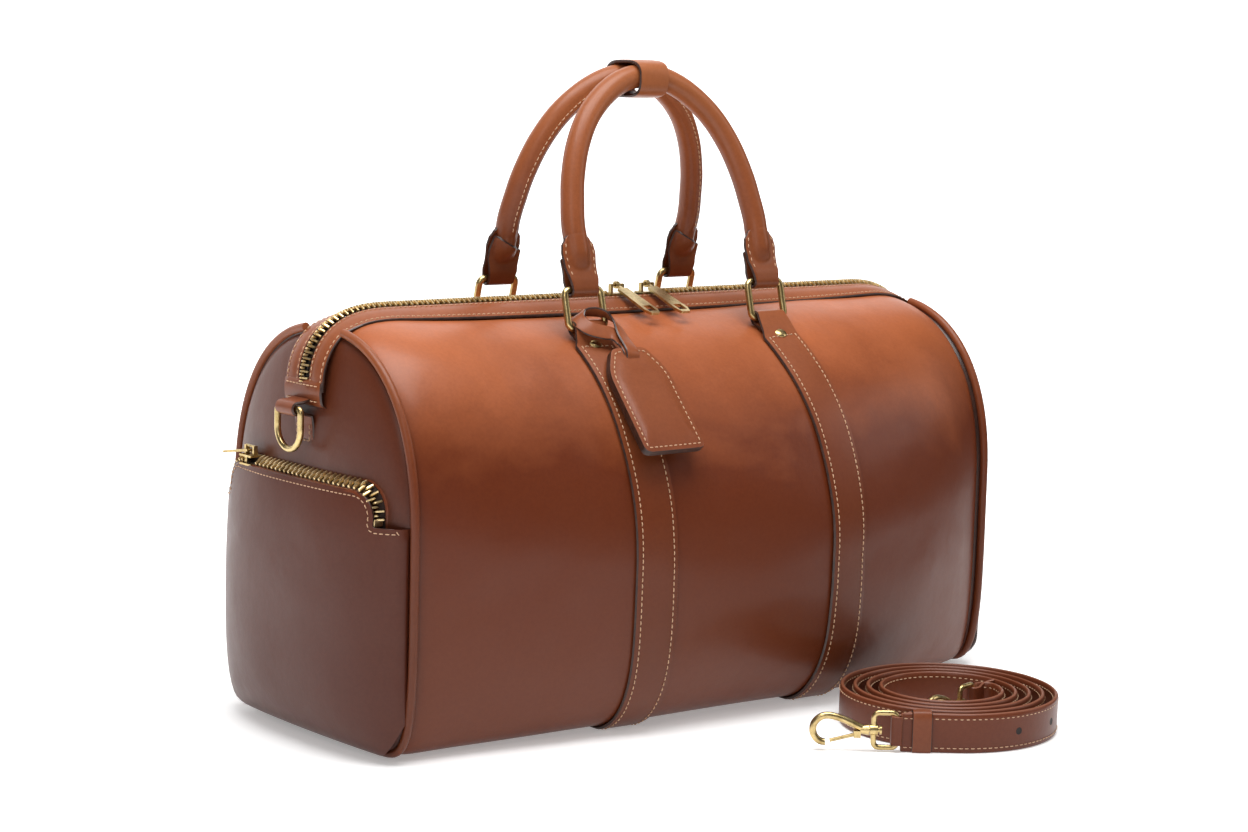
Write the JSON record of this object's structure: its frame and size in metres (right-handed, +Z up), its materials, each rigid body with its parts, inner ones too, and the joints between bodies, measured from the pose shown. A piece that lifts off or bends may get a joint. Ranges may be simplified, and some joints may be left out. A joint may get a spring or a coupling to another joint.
{
  "type": "duffel bag",
  "caption": "Stuffed leather travel duffel with zipped top, paired rolled handles on rings, a zipped end pocket, a hanging tag and a coiled shoulder strap.",
  "frame": {"origin": "middle of the base, on the surface the bag stands on", "axes": "+X along the bag away from the zipped end pocket, -Y to the front with the tag, +Z up"},
  "size_m": [0.5682, 0.431, 0.4367],
  "materials": {
    "leather": "smooth polished cognac, lighter on top and darker towards the base",
    "end_leather": "smooth polished dark chestnut",
    "brass": "satin antique pale gold",
    "zip_brass": "satin",
    "zip_tape": "matt woven",
    "lining": "matt woven cotton",
    "board": "matt",
    "rope": "matt twisted cotton"
  },
  "bodies": {
    "bag": {"front_panel": "leather", "rear_panel": "leather", "front_lining": "lining", "rear_lining": "lining", "right_end_panel": "end_leather", "left_end_panel": "end_leather", "right_piping": "leather", "left_piping": "leather", "base_panel": "leather", "base_board": "board", "left_band": "leather", "right_band": "leather", "left_ring_loops": "leather", "right_ring_loops": "leather", "left_rivets": "brass", "right_rivets": "brass", "gusset_front": "leather", "gusset_rear": "leather", "zip_tapes": "zip_tape", "zip_teeth": "zip_brass", "gusset_ends": "leather", "tag_thong": "leather", "right_end_tab": "leather", "left_end_tab": "leather", "pocket_panel": "end_leather", "pocket_zip_strips": "leather", "pocket_zip_tapes": "zip_tape", "pocket_zip_teeth": "zip_brass", "slip_pocket": "end_leather"},
    "front_left_ring": {"front_left_ring": "brass"},
    "front_right_ring": {"front_right_ring": "brass"},
    "rear_left_ring": {"rear_left_ring": "brass"},
    "rear_right_ring": {"rear_right_ring": "brass"},
    "front_handle": {"front_handle": "leather", "front_handle_core": "rope"},
    "rear_handle": {"rear_handle": "leather", "rear_handle_core": "rope", "handle_keeper": "leather"},
    "left_slider": {"left_slider": "brass"},
    "right_slider": {"right_slider": "brass"},
    "left_pull": {"left_pull": "brass"},
    "right_pull": {"right_pull": "brass"},
    "tag": {"tag_front": "leather", "tag_back": "leather", "tag_card": "board"},
    "left_end_ring": {"left_end_ring": "brass"},
    "right_end_ring": {"right_end_ring": "brass"},
    "pocket_slider": {"pocket_slider": "brass"},
    "pocket_pull": {"pocket_pull": "brass"},
    "strap": {"shoulder_strap": "leather", "outer_strap_ring": "brass", "outer_strap_fold": "leather", "inner_strap_ring": "brass", "inner_strap_fold": "leather", "strap_keeper": "leather"},
    "outer_hook": {"outer_hook": "brass"},
    "outer_gate": {"outer_hook_gate": "brass"},
    "inner_hook": {"inner_hook": "brass"},
    "inner_gate": {"inner_hook_gate": "brass"}
  },
  "joints": [
    {"name": "front_left_ring_hinge", "type": "hinge", "parent": "bag", "child": "front_left_ring", "pos_m": [-0.0805, -0.053, 0.2614], "axis": [1, 0, 0], "range_deg": [0, 30], "deforming": ["tag_thong", "handle_keeper"]},
    {"name": "front_right_ring_hinge", "type": "hinge", "parent": "bag", "child": "front_right_ring", "pos_m": [0.0805, -0.053, 0.2614], "axis": [1, 0, 0], "range_deg": [0, 30]},
    {"name": "front_handle_hinge", "type": "hinge", "parent": "front_left_ring", "child": "front_handle", "pos_m": [-0.0805, -0.04671, 0.28663], "axis": [1, 0, 0], "range_deg": [0, 110], "deforming": ["handle_keeper", "tag_thong"]},
    {"name": "rear_left_ring_hinge", "type": "hinge", "parent": "bag", "child": "rear_left_ring", "pos_m": [-0.0805, 0.053, 0.2614], "axis": [-1, 0, 0], "range_deg": [0, 30], "deforming": ["handle_keeper"]},
    {"name": "rear_right_ring_hinge", "type": "hinge", "parent": "bag", "child": "rear_right_ring", "pos_m": [0.0805, 0.053, 0.2614], "axis": [-1, 0, 0], "range_deg": [0, 30]},
    {"name": "rear_handle_hinge", "type": "hinge", "parent": "rear_left_ring", "child": "rear_handle", "pos_m": [-0.0805, 0.04671, 0.28663], "axis": [-1, 0, 0], "range_deg": [0, 110], "deforming": ["handle_keeper"]},
    {"name": "left_slider_run", "type": "slide", "parent": "bag", "child": "left_slider", "axis": [-1, 0, 0], "range_m": [0, 0.185], "deforming": ["zip_teeth"]},
    {"name": "right_slider_run", "type": "slide", "parent": "bag", "child": "right_slider", "axis": [1, 0, 0], "range_m": [0, 0.185], "deforming": ["zip_teeth"]},
    {"name": "left_pull_hinge", "type": "hinge", "parent": "left_slider", "child": "left_pull", "pos_m": [-0.0135, 0, 0.2831], "axis": [-1, 0, 0], "range_deg": [0, 150]},
    {"name": "right_pull_hinge", "type": "hinge", "parent": "right_slider", "child": "right_pull", "pos_m": [0.0135, 0, 0.2831], "axis": [-1, 0, 0], "range_deg": [0, 150]},
    {"name": "tag_swing", "type": "hinge", "parent": "bag", "child": "tag", "pos_m": [-0.067, -0.08277, 0.24236], "axis": [0, -0.7547, 0.6561], "range_deg": [-22, 22], "deforming": ["tag_thong"]},
    {"name": "left_end_ring_hinge", "type": "hinge", "parent": "bag", "child": "left_end_ring", "pos_m": [-0.2775, 0, 0.215], "axis": [0, 1, 0], "range_deg": [-8, 110]},
    {"name": "right_end_ring_hinge", "type": "hinge", "parent": "bag", "child": "right_end_ring", "pos_m": [0.2775, 0, 0.215], "axis": [0, -1, 0], "range_deg": [-8, 110]},
    {"name": "pocket_slider_run", "type": "slide", "parent": "bag", "child": "pocket_slider", "axis": [0, -1, 0], "range_m": [0, 0.105], "deforming": ["pocket_zip_teeth"]},
    {"name": "pocket_pull_hinge", "type": "hinge", "parent": "pocket_slider", "child": "pocket_pull", "pos_m": [-0.271, 0.056, 0.1801], "axis": [1, 0, 0], "range_deg": [0, 140]},
    {"name": "strap_lift", "type": "slide", "parent": "bag", "child": "strap", "axis": [0, -0.8, 0.6], "range_m": [0, 0.3]},
    {"name": "outer_hook_swivel", "type": "hinge", "parent": "strap", "child": "outer_hook", "pos_m": [0.01868, -0.23407, 0.01395], "axis": [-0.7738, 0.6334, 0], "range_deg": [-20, 20]},
    {"name": "outer_gate_hinge", "type": "hinge", "parent": "outer_hook", "child": "outer_gate", "pos_m": [0.01033, -0.22723, 0.01095], "axis": [0.6334, 0.7738, 0], "range_deg": [0, 20], "stiffness_Nm_per_rad": 0.02, "springref_deg": -17.19},
    {"name": "inner_hook_swivel", "type": "hinge", "parent": "strap", "child": "inner_hook", "pos_m": [0.11644, -0.21647, 0.01395], "axis": [-0.9848, -0.1736, 0], "range_deg": [-20, 20]},
    {"name": "inner_gate_hinge", "type": "hinge", "parent": "inner_hook", "child": "inner_gate", "pos_m": [0.10581, -0.21834, 0.01095], "axis": [-0.1736, 0.9848, 0], "range_deg": [0, 20], "stiffness_Nm_per_rad": 0.02, "springref_deg": -17.19}
  ],
  "couplings": [
    {"joint": "front_right_ring_hinge", "follows": "front_left_ring_hinge", "ratio": 1},
    {"joint": "rear_right_ring_hinge", "follows": "rear_left_ring_hinge", "ratio": 1}
  ]
}
